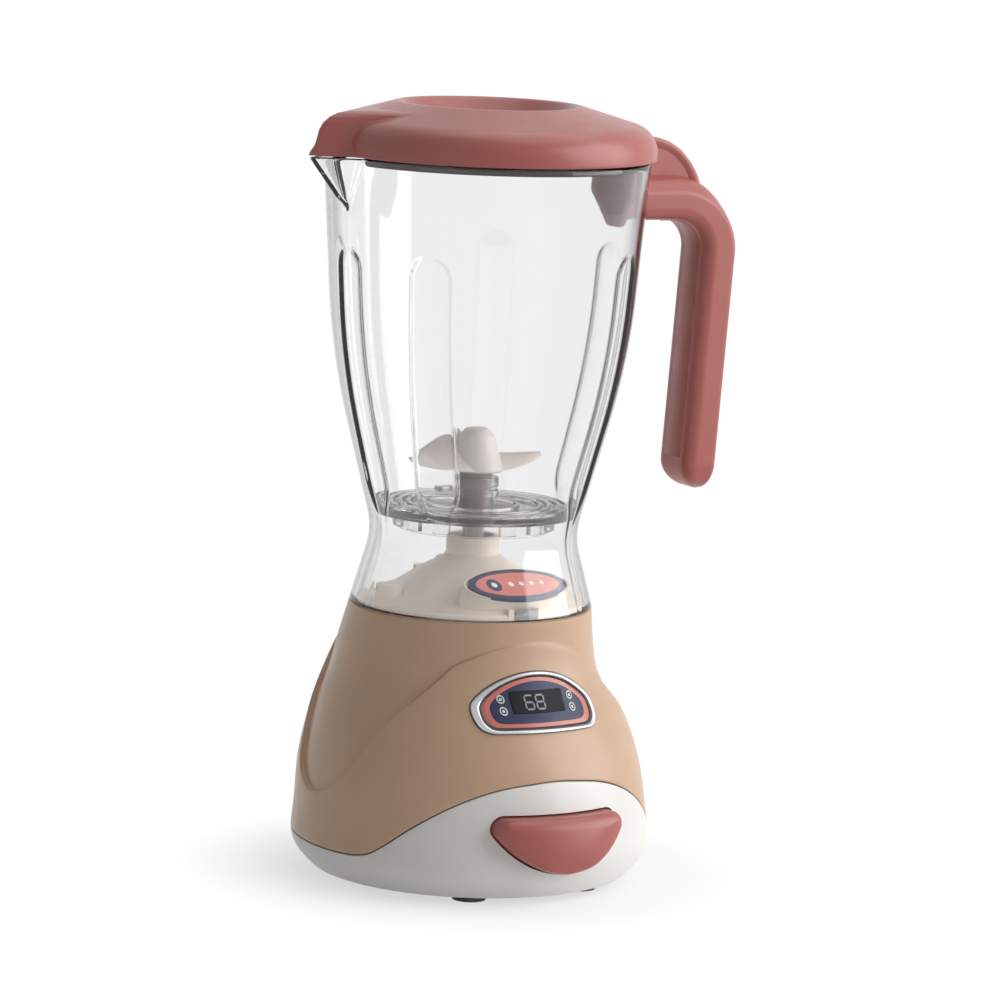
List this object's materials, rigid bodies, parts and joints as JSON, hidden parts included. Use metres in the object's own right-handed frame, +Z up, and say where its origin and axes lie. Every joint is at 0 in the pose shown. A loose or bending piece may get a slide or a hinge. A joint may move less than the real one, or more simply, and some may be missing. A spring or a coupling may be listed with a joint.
{
  "type": "toy blender",
  "caption": "Toy kitchen blender: clear fluted jug with spout, lid and hook handle on a base with a start button, display panel and geared battery drive.",
  "frame": {"origin": "on the surface the feet stand on, on the axis of the jug and the drive", "axes": "+Z up along the jug, -Y to the front with the button and display, +X to the handle, -X to the spout"},
  "size_m": [0.1776, 0.1395, 0.28],
  "materials": {
    "white_plastic": "satin moulded",
    "beige_plastic": "satin moulded",
    "cream_plastic": "satin moulded",
    "badge_plastic": "gloss printed",
    "silver_plastic": "metallised",
    "panel_plastic": "gloss printed",
    "display_plastic": "gloss",
    "terracotta_plastic": "satin moulded",
    "grey_plastic": "moulded",
    "dark_plastic": "moulded",
    "gear_plastic": "moulded",
    "spring_steel": "drawn",
    "screw_steel": "plated",
    "motor_steel": "drawn",
    "contact_steel": "nickel plated",
    "cell_steel": "printed sleeve",
    "foot_rubber": "matt",
    "clear_plastic": "clear gloss",
    "blade_plastic": "satin moulded",
    "plug_plastic": "satin moulded"
  },
  "bodies": {
    "root": {"base_tub": "white_plastic", "upper_housing": "beige_plastic", "drive_deck": "cream_plastic", "badge_plate": "badge_plastic", "panel_bezel": "silver_plastic", "panel_face": "panel_plastic", "display_window": "display_plastic", "panel_keys": "silver_plastic", "button_guide": "grey_plastic", "button_spring": "spring_steel", "start_switch": "dark_plastic", "motor": "motor_steel", "gearbox_plate": "grey_plastic", "gearbox_cover": "grey_plastic", "gearbox_screws": "screw_steel", "idler_pin": "spring_steel", "tower_bush": "gear_plastic", "battery_holder": "dark_plastic", "battery_cells": "cell_steel", "battery_contacts": "contact_steel", "base_screws": "screw_steel", "rubber_feet": "foot_rubber"},
    "button": {"start_button": "terracotta_plastic"},
    "spindle": {"drive_gear": "gear_plastic", "drive_shaft": "spring_steel", "drive_coupler": "dark_plastic"},
    "idler": {"idler_gear": "gear_plastic"},
    "rotor": {"motor_shaft": "spring_steel", "motor_pinion": "gear_plastic"},
    "door": {"battery_door": "white_plastic", "battery_door_screw": "screw_steel"},
    "jug": {"jug_shell": "clear_plastic", "jug_floor": "clear_plastic", "floor_bush": "gear_plastic", "handle_shell": "terracotta_plastic", "handle_cover": "terracotta_plastic"},
    "impeller": {"impeller_shaft": "clear_plastic", "impeller": "blade_plastic"},
    "lid": {"lid_shell": "terracotta_plastic", "lid_plug": "plug_plastic"}
  },
  "joints": [
    {"name": "button_press", "type": "slide", "parent": "root", "child": "button", "axis": [0, 1, 0], "range_m": [0, 0.003], "stiffness_N_per_m": 400, "springref_m": -0.002, "deforming": ["button_spring"]},
    {"name": "spindle_spin", "type": "hinge", "parent": "root", "child": "spindle", "pos_m": [0, 0, 0.07], "axis": [0, 0, 1], "continuous": true},
    {"name": "idler_spin", "type": "hinge", "parent": "root", "child": "idler", "pos_m": [0, 0.0192, 0.065], "axis": [0, 0, 1], "continuous": true},
    {"name": "rotor_spin", "type": "hinge", "parent": "root", "child": "rotor", "pos_m": [-0.01729, 0.01291, 0.06], "axis": [0, 0, 1], "continuous": true},
    {"name": "door_swing", "type": "hinge", "parent": "root", "child": "door", "pos_m": [0, 0.0255, 0.0026], "axis": [1, 0, 0], "range_deg": [0, 60]},
    {"name": "jug_lift", "type": "slide", "parent": "root", "child": "jug", "axis": [0, 0, 1], "range_m": [0, 0.06]},
    {"name": "impeller_spin", "type": "hinge", "parent": "jug", "child": "impeller", "pos_m": [0, 0, 0.14], "axis": [0, 0, 1], "continuous": true},
    {"name": "lid_lift", "type": "slide", "parent": "jug", "child": "lid", "axis": [0, 0, 1], "range_m": [0, 0.09]}
  ],
  "couplings": [
    {"joint": "idler_spin", "follows": "spindle_spin", "ratio": -3},
    {"joint": "rotor_spin", "follows": "spindle_spin", "ratio": 10.8},
    {"joint": "impeller_spin", "follows": "spindle_spin", "ratio": 1}
  ]
}
